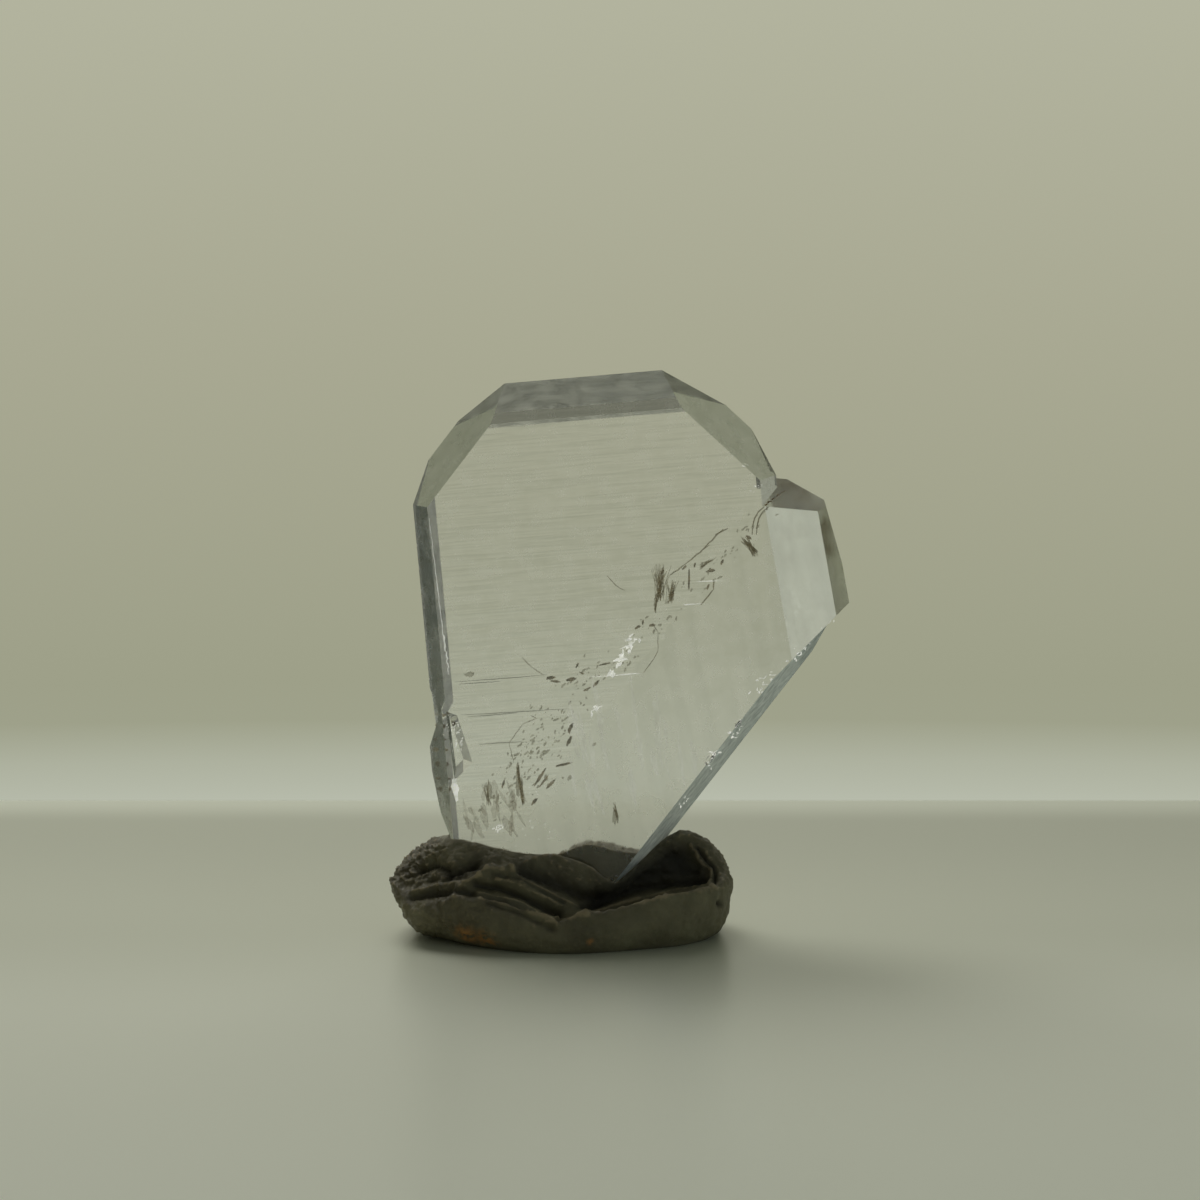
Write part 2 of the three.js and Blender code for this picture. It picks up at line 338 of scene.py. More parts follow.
bump.inputs["Strength"].default_value = 1.0
bump.inputs["Distance"].default_value = 0.008 * mm
links.new(height, bump.inputs["Height"])
links.new(bump.outputs["Normal"], shader.inputs["Normal"])
links.new(ramp_between(nodes, links, fine, 0.35, 0.75, 0.02, 0.16), shader.inputs["Roughness"])
lines = nodes.new("ShaderNodeValToRGB")
lines.color_ramp.elements[0].position = 0.34
lines.color_ramp.elements[0].color = (0.80, 0.81, 0.795, 1)
lines.color_ramp.elements[1].position = 0.56
lines.color_ramp.elements[1].color = (1.0, 1.0, 1.0, 1)
banded = ramp_between(nodes, links, right_broad, 0.40, 0.60, 0.40, 0.50)
links.new(blend_of(nodes, links, seam_share, left_fine, banded), lines.inputs["Fac"])
links.new(lines.outputs["Color"], shader.inputs["Base Color"])

# The broken lower right side, frosted, pale and matt. The pale is the frosting's own; its blue-grey tint is
# a painted reflection of cool light.
frosted_quartz, nodes, links = new_finish("frosted_quartz")
shader = nodes["Principled BSDF"]
shader.inputs["Roughness"].default_value = 0.55
shader.inputs["Transmission Weight"].default_value = 0.35
shader.inputs["IOR"].default_value = quartz_ior
along_break = along_crystal(nodes, links, seam_lean, (0.22 * mm, 0.16 * mm, 0.5 * mm))
streaks = grain(nodes, links, along_break, 1, 6, 0.7)
pits = nodes.new("ShaderNodeBump")
pits.inputs["Strength"].default_value = 0.8
pits.inputs["Distance"].default_value = 0.05 * mm
links.new(streaks, pits.inputs["Height"])
links.new(pits.outputs["Normal"], shader.inputs["Normal"])
# Painted reflection: the blue-grey of these colours stands for the cool light the frosting reflects.
tint = nodes.new("ShaderNodeValToRGB")
tint.color_ramp.elements[0].position = 0.35
tint.color_ramp.elements[0].color = (0.34, 0.41, 0.42, 1)
tint.color_ramp.elements[1].position = 0.66
tint.color_ramp.elements[1].color = (0.92, 1.0, 0.99, 1)
links.new(streaks, tint.inputs["Fac"])
links.new(tint.outputs["Color"], shader.inputs["Base Color"])

# The broken lower end inside the tack, milky where it was snapped off its matrix.
milky_quartz, nodes, links = new_finish("milky_quartz")
shader = nodes["Principled BSDF"]
place = nodes.new("ShaderNodeTexCoord")
clouds = grain(nodes, links, place.outputs["Object"], 700, 4)
tint = nodes.new("ShaderNodeValToRGB")
tint.color_ramp.elements[0].position = 0.3
tint.color_ramp.elements[0].color = (0.50, 0.48, 0.36, 1)
tint.color_ramp.elements[1].position = 0.7
tint.color_ramp.elements[1].color = (0.85, 0.84, 0.70, 1)
links.new(clouds, tint.inputs["Fac"])
links.new(tint.outputs["Color"], shader.inputs["Base Color"])
links.new(ramp_between(nodes, links, clouds, 0.3, 0.7, 0.4, 0.7), shader.inputs["Roughness"])

# The other faces each grew with a finish of their own. At the back most are etched and matt and one end face
# is satin, and at the front one is patchy and four are tinted darker, which is painted shade. The broad rear
# face is lightly etched too, which blurs what lies behind the plate.
face_finishes = []
for name, dark, pale, low_roughness, high_roughness, ways in [
    ("etched_quartz", (0.84, 0.85, 0.78), (0.95, 0.95, 0.90), 0.50, 0.70, [
        (left_lean, left_side, 180, rhomb_polar), (left_lean, left_side, -120, 90),
        (right_lean, right_side, 120, steep_polar)]),
    ("satin_quartz", (0.95, 0.955, 0.93), (1.0, 1.0, 0.99), 0.04, 0.16, [
        (right_lean, right_side, 180, rhomb_polar)]),
    ("patchy_quartz", (0.70, 0.72, 0.60), (1.0, 1.0, 0.97), 0.02, 0.34, [
        (left_lean, left_side, -60, 90)]),
    ("rear_quartz", (0.975, 0.98, 0.98), (1.0, 1.0, 1.0), 0.20, 0.30, [
        (left_lean, left_side, 180, 90)]),
    # Painted shade: these faces of the colourless quartz are tinted darker for the dark they show.
    ("shade_tinted_quartz", (0.52, 0.53, 0.43), (0.68, 0.69, 0.59), 0.10, 0.26, [
        (left_lean, left_side, -60, rhomb_polar), (left_lean, left_side, 60, rhomb_polar),
        (right_lean, right_side, 60, steep_polar), (right_lean, right_side, 0, rhomb_polar)]),
]:
    made, nodes, links = new_finish(name)
    shader = nodes["Principled BSDF"]
    shader.inputs["Transmission Weight"].default_value = 1
    shader.inputs["IOR"].default_value = quartz_ior
    place = nodes.new("ShaderNodeTexCoord")
    etching = grain(nodes, links, place.outputs["Object"], 1100, 5, 0.6)
    tint = nodes.new("ShaderNodeValToRGB")
    tint.color_ramp.elements[0].position = 0.35
    tint.color_ramp.elements[0].color = (*dark, 1)
    tint.color_ramp.elements[1].position = 0.65
    tint.color_ramp.elements[1].color = (*pale, 1)
    links.new(etching, tint.inputs["Fac"])
    links.new(tint.outputs["Color"], shader.inputs["Base Color"])
    links.new(ramp_between(nodes, links, etching, 0.3, 0.7, low_roughness, high_roughness),
              shader.inputs["Roughness"])
    face_finishes.append((made, [face_of(*way, 0)[1] for way in ways]))

crystal.data.materials.clear()
for finish_made in [clear_quartz, frosted_quartz, milky_quartz] + [made for made, ways in face_finishes]:
    crystal.data.materials.append(finish_made)
broken_ways = [normal for place, normal in broken_sides]
for face in crystal.data.polygons:
    if any(face.normal.dot(way) > same_way for way in broken_ways):
        face.material_index = 1
    for slot, (made, ways) in enumerate(face_finishes, start=3):
        if any(face.normal.dot(way) > same_way for way in ways):
            face.material_index = slot
    if face.normal.z < -same_way and face.center.z < foot_height + 0.1 * mm:
        face.material_index = 2
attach(crystal, "root")
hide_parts("twin_crystal")

# THE INCLUSIONS
# What the clear quartz holds inside: brown needles in brushes, dark grains along the seam, healed cracks
# that shine, and flakes along the broken side. Each kind is drawn at its size, just behind the front face.
# Most glow with painted light, and the cracks' shine is a painted glint.
front_y = heart.y / mm - front / mm


def thread(name, finish_made, lines, thickness):
    """Fine threads: every line is a list of (x, depth behind the front face, z), in millimetres."""
    drawn = bpy.data.curves.new(name, "CURVE")
    drawn.dimensions = "3D"
    drawn.bevel_depth = thickness / 2 * mm
    drawn.bevel_resolution = 0
    drawn.use_fill_caps = True
    for line in lines:
        spline = drawn.splines.new("POLY")
        spline.points.add(len(line) - 1)
        for point, (x, depth, z) in zip(spline.points, line):
            point.co = (x * mm, (front_y + depth) * mm, z * mm, 1)
        for step, point in enumerate(spline.points):
            point.radius = 1.0
            if len(line) >= 4:
                point.radius = 0.35 + 0.65 * math.sin(math.pi * (step + 0.5) / len(line))
    threads = bpy.data.objects.new(name, drawn)
    bpy.context.collection.objects.link(threads)
    make_active(threads)
    bpy.ops.object.convert(target="MESH")
    bpy.ops.object.shade_smooth()
    threads.data.materials.append(finish_made)
    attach(threads, "root")


def wavering(chance, start, end, steps, sway):
    line = []
    for step in range(steps + 1):
        share = step / steps
        line.append(tuple(near + (far - near) * share + chance.uniform(-sway, sway)
                          for near, far in zip(start, end)))
    return line


def grains(name, finish_made, chance, places, roundness=0.45):
    """Irregular grains: every place is (x, depth, z, length, width, lean), in millimetres and degrees."""
    deselect_all()
    bpy.ops.mesh.primitive_ico_sphere_add(subdivisions=2, radius=0.5)
    pattern = bpy.context.object
    bpy.ops.object.mode_set(mode="EDIT")
    bpy.ops.transform.vertex_random(offset=0.16, uniform=1.0, normal=0.0, seed=4)
    bpy.ops.object.mode_set(mode="OBJECT")
    copies = []
    for x, depth, z, length, width, lean in places:
        grain_made = pattern.copy()
        grain_made.data = pattern.data.copy()
        bpy.context.collection.objects.link(grain_made)
        for vertex in grain_made.data.vertices:
            vertex.co *= chance.uniform(0.72, 1.18)
        grain_made.rotation_euler = (0, math.radians(-lean), 0)
        grain_made.scale = (length * mm, width * roundness * mm, width * mm)
        grain_made.location = Vector((x, front_y + depth, z)) * mm
        copies.append(grain_made)
    bpy.data.objects.remove(pattern)
    deselect_all()
    for grain_made in copies:
        grain_made.select_set(True)
    bpy.context.view_layer.objects.active = copies[0]
    bpy.ops.object.join()
    cluster = bpy.context.object
    cluster.name = name
    settle(cluster)
    cluster.data.materials.append(finish_made)
    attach(cluster, "root")


def stone_finish(name, dark, pale, scale, alpha, roughness, painted_glow=0.0):
    made, nodes, links = new_finish(name)
    shader = nodes["Principled BSDF"]
    place = nodes.new("ShaderNodeTexCoord")
    tint = nodes.new("ShaderNodeValToRGB")
    tint.color_ramp.elements[0].position = 0.35
    tint.color_ramp.elements[0].color = (*dark, 1)
    tint.color_ramp.elements[1].position = 0.65
    tint.color_ramp.elements[1].color = (*pale, 1)
    links.new(grain(nodes, links, place.outputs["Object"], scale, 3), tint.inputs["Fac"])
    links.new(tint.outputs["Color"], shader.inputs["Base Color"])
    shader.inputs["Alpha"].default_value = alpha
    shader.inputs["Roughness"].default_value = roughness
    # Painted light: the glow makes the inclusion shine by itself, standing for the light that reaches it
    # through the quartz.
    if painted_glow:
        links.new(tint.outputs["Color"], shader.inputs["Emission Color"])
        shader.inputs["Emission Strength"].default_value = painted_glow
    return made


# The last number of each finish is a painted glow; on the shining cracks it is a painted glint.
brown_needle = stone_finish("brown_needle", (0.20, 0.17, 0.08), (0.42, 0.37, 0.22), 3000, 0.50, 0.6, 0.14)
dark_grain = stone_finish("dark_grain", (0.10, 0.085, 0.045), (0.34, 0.29, 0.18), 2500, 0.62, 0.6, 0.22)
olive_speck = stone_finish("olive_speck", (0.22, 0.21, 0.13), (0.50, 0.49, 0.36), 2500, 0.42, 0.6, 0.25)
shining_crack = stone_finish("shining_crack", (0.72, 0.73, 0.66), (0.95, 0.95, 0.90), 4000, 0.9, 0.25, 0.45)
rust_speck = stone_finish("rust_speck", (0.16, 0.09, 0.02), (0.34, 0.20, 0.05), 4000, 0.95, 0.7)

chance = random.Random(11)
brushes = []
for (x0, z0), (x1, z1), spread, count in [
    ((1.95, 15.85), (2.05, 17.45), 0.30, 46),
    ((2.45, 15.75), (2.60, 16.70), 0.22, 30),
    ((1.75, 15.30), (1.85, 16.10), 0.12, 14),
    ((6.36, 17.95), (5.85, 18.75), 0.22, 40),
    ((3.85, 17.30), (4.55, 17.75), 0.12, 14),
    ((-4.35, 6.30), (-4.62, 8.05), 0.10, 26),
    ((-5.95, 6.20), (-6.15, 7.30), 0.16, 16),
    ((-0.10, 6.05), (0.10, 5.20), 0.10, 12),
]:
    for needle in range(count):
        lean = chance.gauss(0, spread * 0.55)
        reach = chance.uniform(0.55, 1.0)
        start = (x0 + chance.gauss(0, spread * 0.35), 1.3 + chance.uniform(-0.5, 0.5),
                 z0 + chance.uniform(-0.15, 0.2))
        end = (x0 + (x1 - x0) * reach + lean, 1.3 + chance.uniform(-0.6, 0.6), z0 + (z1 - z0) * reach)
        brushes.append(wavering(chance, start, end, 2, 0.012))
thread("needle_brushes", brown_needle, brushes, 0.024)

curved = []
for shift in (0.0, 0.20):
    curved.append([(6.22 + shift, 0.9, 18.86), (6.24 + shift, 0.9, 19.25), (6.33 + shift, 0.9, 19.62),
                   (6.50 + shift, 0.9, 19.92), (6.78 + shift, 0.9, 20.16)])
for start, end, steps in [
    ((2.42, 1.1, 16.95), (3.14, 1.1, 17.45), 6), ((3.14, 1.1, 17.45), (4.24, 1.1, 18.38), 8),
    ((4.0, 1.1, 18.22), (4.88, 1.1, 19.10), 7), ((4.55, 1.1, 18.85), (5.10, 1.1, 19.12), 3),
    ((3.88, 1.1, 15.57), (4.45, 1.1, 16.28), 5), ((4.45, 1.1, 16.28), (4.49, 1.1, 16.71), 3),
]:
    curved.append(wavering(chance, start, end, steps, 0.022))
thread("brown_veins", brown_needle, curved, 0.07)

thread("dark_outlines", dark_grain, [
    wavering(chance, (-4.0, 1.2, 10.37), (-3.71, 1.2, 10.23), 3, 0.01),
    wavering(chance, (-3.71, 1.2, 10.23), (-4.35, 1.2, 9.97), 4, 0.012),
    wavering(chance, (-4.35, 1.2, 9.97), (-4.99, 1.2, 9.08), 6, 0.012),
    wavering(chance, (-4.99, 1.2, 9.08), (-4.78, 1.2, 8.11), 6, 0.012),
    wavering(chance, (1.23, 1.2, 12.37), (1.72, 1.2, 13.06), 4, 0.012),
    wavering(chance, (1.72, 1.2, 13.06), (1.9, 1.2, 13.41), 3, 0.012),
    wavering(chance, (1.9, 1.2, 13.41), (1.9, 1.2, 14.28), 5, 0.012),
    wavering(chance, (1.9, 1.2, 14.28), (1.65, 1.2, 14.7), 3, 0.012),
    wavering(chance, (-4.39, 0.6, 13.17), (-3.92, 0.7, 12.68), 4, 0.01),
    wavering(chance, (-3.92, 0.7, 12.68), (-3.39, 0.8, 12.31), 4, 0.01),
    [(-0.45, 0.03, 17.03), (-0.30, 0.03, 16.86), (-0.07, 0.03, 16.60), (0.14, 0.03, 16.45),
     (0.36, 0.03, 16.35)],
], 0.035)

grains("seam_grains", dark_grain, chance, [
    (-3.08, 1.3, 12.13, 0.42, 0.16, 10), (-2.86, 1.3, 11.97, 0.50, 0.13, -8),
    (-2.12, 1.3, 12.06, 0.45, 0.20, 5), (-1.84, 1.3, 12.70, 0.30, 0.10, 60),
    (-1.62, 1.3, 12.36, 0.24, 0.09, -30), (-0.56, 1.3, 12.78, 0.55, 0.10, 12),
    (-0.99, 1.3, 11.84, 0.40, 0.14, 45), (-1.38, 1.3, 11.59, 0.36, 0.10, 25),
    (-2.16, 1.2, 9.76, 0.50, 0.17, 70), (-2.23, 1.2, 9.15, 0.55, 0.16, 60),
    (-3.61, 1.3, 7.39, 1.05, 0.13, 58), (-3.40, 1.3, 7.25, 0.85, 0.11, 52),
    (-3.08, 1.2, 7.14, 0.60, 0.15, 50), (-2.47, 1.2, 8.07, 0.75, 0.12, 12),
    (-3.85, 1.2, 6.30, 0.45, 0.14, 48), (3.32, 1.1, 16.76, 0.95, 0.11, 88),
    (4.31, 1.1, 17.16, 0.46, 0.15, 8), (4.84, 1.1, 17.56, 0.26, 0.12, 65),
    (4.20, 1.1, 16.41, 0.30, 0.10, 70), (3.58, 1.1, 17.42, 0.22, 0.09, 80),
    (2.10, 1.1, 17.10, 0.26, 0.12, 60), (1.62, 1.1, 14.62, 0.30, 0.14, 10),
    (1.20, 1.1, 14.75, 0.24, 0.10, 75), (3.10, 1.1, 17.30, 0.28, 0.10, 40),
    (2.55, 1.1, 16.05, 0.30, 0.16, 75), (0.95, 1.1, 14.52, 0.28, 0.12, 30),
    (6.06, 1.2, 18.72, 0.28, 0.16, -30), (-4.57, 1.4, 7.60, 1.10, 0.10, 92),
    (-5.28, 1.4, 7.10, 0.40, 0.12, 70), (-8.12, 1.4, 10.35, 0.46, 0.12, 6),
    (-8.16, 1.4, 9.82, 0.50, 0.22, 4), (-8.10, 1.4, 9.20, 0.42, 0.14, 8),
    (-8.14, 1.4, 8.72, 0.55, 0.20, 5), (-8.00, 1.4, 8.05, 0.50, 0.26, 5),
    (-7.96, 1.4, 7.35, 0.52, 0.16, 2), (-7.90, 1.4, 6.85, 0.50, 0.24, 8),
])
grains("olive_grains", olive_speck, chance, [
    (-6.80, 0.9, 12.34, 0.44, 0.26, 0), (-5.91, 1.3, 6.87, 0.20, 0.95, 8),
    (-4.62, 1.4, 7.05, 0.16, 1.15, 4), (-5.55, 1.3, 6.40, 0.14, 0.60, -12),
    (-1.05, 1.3, 9.00, 0.22, 0.14, 20), (-0.10, 1.3, 5.62, 0.20, 0.80, -3),
    (-3.30, 1.3, 8.62, 0.40, 0.16, 35), (-2.20, 1.3, 7.42, 0.34, 0.18, 45),
])

specks = []
for count, (x0, z0), (x1, z1), spread in [
    (84, (-5.03, 7.32), (-2.90, 10.48), 0.40),
    (40, (-6.10, 6.10), (-3.20, 7.90), 0.55),
    (40, (-2.60, 11.70), (0.60, 12.90), 0.28),
    (36, (1.00, 13.90), (4.80, 17.40), 0.34),
    (30, (-2.90, 8.60), (-1.60, 11.60), 0.26),
    (24, (4.60, 17.70), (6.90, 20.10), 0.20),
]:
    for speck in range(count):
        share = chance.random()
        size = chance.uniform(0.035, 0.12)
        specks.append((x0 + (x1 - x0) * share + chance.gauss(0, spread), chance.uniform(0.6, 2.2),
                       z0 + (z1 - z0) * share + chance.gauss(0, spread),
                       size * chance.uniform(1.0, 2.6), size, chance.uniform(20, 80)))
grains("seam_specks", olive_speck, chance, specks)

shine = []
for count, (x0, z0), (x1, z1), spread, length, width in [
    (34, (0.79, 14.14), (-0.21, 12.42), 0.13, 0.34, 0.13),
    (9, (-0.67, 11.05), (-1.20, 10.51), 0.05, 0.30, 0.10),
    (12, (8.95, 13.75), (7.85, 12.95), 0.12, 0.20, 0.07),
    (16, (7.35, 12.60), (6.15, 11.15), 0.16, 0.24, 0.07),
    (14, (5.75, 9.95), (5.25, 9.35), 0.10, 0.18, 0.06),
    (15, (4.65, 8.75), (4.05, 8.05), 0.16, 0.22, 0.09),
    (10, (3.20, 6.60), (2.95, 6.25), 0.08, 0.16, 0.05),
    (10, (-5.75, 5.05), (-5.30, 5.35), 0.10, 0.18, 0.07),
    (12, (-4.9, 4.8), (-2.9, 5.0), 0.30, 0.10, 0.05),
    (8, (-3.9, 6.4), (-3.1, 7.1), 0.35, 0.08, 0.04),
    (14, (-7.72, 10.15), (-7.22, 8.35), 0.10, 0.20, 0.06),
    (5, (9.60, 14.55), (10.0, 15.0), 0.06, 0.12, 0.05),
    (6, (6.20, 20.9), (6.6, 21.3), 0.08, 0.12, 0.05),
]:
    for flake in range(count):
        share = chance.random()
        shine.append((x0 + (x1 - x0) * share + chance.gauss(0, spread), chance.uniform(0.15, 0.9),
                      z0 + (z1 - z0) * share + chance.gauss(0, spread), length * chance.uniform(0.4, 1.1),
                      width * chance.uniform(0.4, 1.2), chance.uniform(-10, 95)))
shine += [
    (-0.74, 1.1, 12.22, 1.30, 0.030, 3), (0.50, 1.1, 12.32, 1.25, 0.055, 5),
    (3.45, 1.1, 15.60, 0.95, 0.040, 3), (4.28, 1.1, 16.68, 1.10, 0.040, 2),
    (5.87, 0.4, 22.06, 0.30, 0.05, -15), (-7.49, 0.3, 7.03, 1.05, 0.30, 93),
]
grains("shining_flakes", shining_crack, chance, shine, roundness=0.12)

# Painted shade: dark threads just under the front face draw the dark lines the growth steps show.
growth_step = stone_finish("growth_step", (0.12, 0.12, 0.08), (0.40, 0.40, 0.30), 1500, 0.34, 0.5)
steps = []
for x0, z0, x1, z1 in [
    (-7.46, 12.07, -3.24, 12.41), (-7.3, 11.98, -5.4, 12.10), (-7.23, 10.52, -2.24, 10.82),
    (-6.9, 10.44, -4.6, 10.62), (-6.4, 9.15, -4.4, 9.28),
]:
    steps.append(wavering(chance, (x0, 0.03, z0), (x1, 0.03, z1), 14, 0.012))
thread("growth_steps", growth_step, steps, 0.05)

pale_veil = stone_finish("pale_veil", (0.66, 0.66, 0.57), (0.92, 0.93, 0.84), 900, 0.12, 0.6, 0.36)
tan_veil = stone_finish("tan_veil", (0.30, 0.26, 0.16), (0.62, 0.58, 0.42), 900, 0.16, 0.6, 0.15)
streaks = []
for streak in range(34):
    x = chance.uniform(-2.2, 3.6)
    streaks.append((x, chance.uniform(0.5, 2.2), chance.uniform(6.0, 11.4) - 0.35 * max(0.0, x - 1.5),
                    chance.uniform(0.9, 2.8), chance.uniform(0.06, 0.34), 100 + chance.uniform(-4, 4)))
grains("pale_streaks", pale_veil, chance, streaks, roundness=0.2)
haze = []
for patch in range(26):
    haze.append((chance.uniform(-7.1, -4.4), chance.uniform(0.4, 2.2), chance.uniform(4.9, 7.0),
                 chance.uniform(0.4, 1.3), chance.uniform(0.10, 0.40), 95 + chance.uniform(-25, 25)))
grains("tan_haze", tan_veil, chance, haze, roundness=0.25)

rust = []
for step in range(9):
    share = step / 8
    rust.append((6.84 + 0.85 * share, 0.06 + 1.25 * share, 20.33 + 0.36 * share + 0.05 * (step % 2),
                 chance.uniform(0.10, 0.20), chance.uniform(0.06, 0.10), chance.uniform(20, 70)))
grains("seam_rust", rust_speck, chance, rust)

# Painted glints: pale glowing threads just inside the left front edge stand for the light the edge catches.
chance = random.Random(29)
edge_line = wavering(chance, (-8.62, 0.05, 19.7), (-7.92, 0.05, 13.6), 22, 0.018)
thread("edge_glints", shining_crack, [edge_line], 0.030)
lower_glint_line = wavering(chance, (-8.08, 0.05, 15.0), (-7.74, 0.05, 12.4), 20, 0.04)
thread("lower_edge_glints", shining_crack, [lower_glint_line], 0.055)

# THE TACK
# A lump of grey-brown mineral tack, kneaded, folded over itself and pressed round the crystal's lower end,
# with its underside pressed flat. It starts from the plain lump, gets an even fine mesh, and the folds are
# pushed in.
source = bpy.data.objects["mounting_putty"]
make_active(source)
tack = source.copy()
tack.data = source.data.copy()
tack.name = "kneaded_tack"
bpy.context.collection.objects.link(tack)
make_active(tack)
bpy.ops.object.mode_set(mode="EDIT")
bpy.ops.mesh.select_all(action="SELECT")
bpy.ops.mesh.remove_doubles(threshold=same_point)
bpy.ops.object.mode_set(mode="OBJECT")
tack_grid = 0.085 * mm
tack_right = 5.44 * mm
smoothing_rounds = 7
tack.data.remesh_voxel_size = tack_grid
bpy.ops.object.voxel_remesh()

view_rise = math.radians(9)
# Each fold is drawn as the viewer sees it, as (height, reach above it, reach below it, how dark the painted
# shade in its hollow is, line), in millimetres; a negative height is a crease.
folds = [
    (0.34, 0.15, 0.30, 0, [
        (-7.46, 2.03), (-6.29, 2.77), (-5.97, 2.99), (-5.01, 3.09), (-4.37, 2.56), (-3.52, 2.14),
        (-2.46, 1.60), (-1.40, 1.13),
    ]),
    (-0.46, 0.34, 0.26, 0.8, [(-4.4, 3.08), (-3.4, 2.72), (-2.4, 2.25), (-1.6, 1.9), (-0.7, 1.75)]),
    (0.22, 0.10, 0.16, 0, [(-6.29, 2.03), (-5.44, 1.82), (-4.37, 1.55), (-3.52, 1.07), (-2.78, 0.70)]),
    (-0.40, 0.12, 0.13, 0.75, [(-6.5, 2.40), (-5.4, 2.30), (-4.4, 1.92), (-3.4, 1.42), (-2.6, 1.05)]),
    (0.14, 0.06, 0.09, 0, [(-5.9, 2.66), (-5.0, 2.60), (-4.2, 2.18), (-3.3, 1.74), (-2.5, 1.34)]),
    (-0.16, 0.07, 0.07, 0.5, [(-5.7, 2.80), (-4.9, 2.78), (-4.1, 2.36), (-3.3, 1.92), (-2.5, 1.5)]),
    (-0.18, 0.12, 0.12, 0.4, [(-5.9, 1.62), (-4.6, 1.28), (-3.7, 0.82), (-3.0, 0.48)]),
    (0.20, 0.12, 0.16, 0, [
        (-4.90, 3.09), (-4.2, 3.4), (-3.52, 3.57), (-2.78, 3.73), (-2.14, 3.57), (-1.72, 3.25),
        (-0.97, 2.99), (-0.33, 2.56),
    ]),
    (-0.50, 0.30, 0.26, 0.85, [(-7.8, 2.85), (-7.1, 3.1), (-6.5, 3.35)]),
    (0.26, 0.12, 0.20, 0, [
        (-9.36, 2.07), (-8.46, 2.35), (-7.45, 2.52), (-6.89, 2.41), (-6.44, 2.63), (-5.99, 3.02),
    ]),
    (-0.26, 0.14, 0.14, 0.6, [(-9.6, 1.72), (-8.5, 1.98), (-7.4, 2.06), (-6.7, 2.0)]),
    (-0.30, 0.16, 0.16, 0.6, [(-9.3, 3.1), (-8.6, 3.35), (-7.9, 3.2)]),
    (0.18, 0.07, 0.24, 0, [
        (-3.31, 0.75), (-2.67, 0.70), (-1.40, 1.07), (0.73, 1.66), (2.54, 1.98), (3.92, 2.24),
        (4.66, 2.24),
    ]),
    (-0.40, 0.26, 0.14, 0.9, [(-1.5, 1.26), (-0.6, 1.50), (0.8, 1.94), (2.5, 2.28), (4.0, 2.52)]),
    (-0.25, 0.40, 0.35, 0.88, [(-0.5, 1.85), (0.6, 2.3), (1.8, 2.65), (3.0, 2.9)]),
    (-0.12, 0.50, 0.40, 0.85, [(1.1, 2.7), (2.0, 3.2), (2.9, 3.45)]),
    (-0.20, 0.50, 0.50, 0.85, [(2.5, 3.55), (3.1, 3.25), (3.6, 2.9)]),
    (0.24, 0.09, 0.07, 0, [
        (3.43, 4.15), (3.52, 3.92), (3.69, 3.80), (3.75, 3.45), (3.99, 3.19), (4.20, 3.08),
        (4.40, 2.88), (4.33, 2.62), (4.30, 2.37),
    ]),
    (-0.26, 0.07, 0.06, 0.8, [
        (3.75, 4.0), (3.95, 3.72), (4.12, 3.45), (4.52, 3.12), (4.60, 2.8), (4.50, 2.42),
    ]),
    (0.16, 0.10, 0.12, 0, [(-8.4, 2.72), (-7.6, 2.86), (-7.1, 2.98), (-6.8, 3.05)]),
    (-0.35, 0.10, 0.10, 0.9, [(4.77, 1.50), (4.79, 1.46)]),
]


def clamped(value):
    return max(0.0, min(1.0, value))


def reach_to_line(across, up, line):
    """The distance from a point of the picture to a fold's line, below zero on the line's lower side."""
    nearest = 1e9
    for (x0, z0), (x1, z1) in zip(line, line[1:]):
        run = (x1 - x0) ** 2 + (z1 - z0) ** 2
        share = clamped(((across - x0) * (x1 - x0) + (up - z0) * (z1 - z0)) / run)
        reach = math.hypot(across - x0 - share * (x1 - x0), up - z0 - share * (z1 - z0))
        if reach < abs(nearest):
            nearest = math.copysign(reach, (x1 - x0) * (up - z0) - (z1 - z0) * (across - x0))
    return nearest


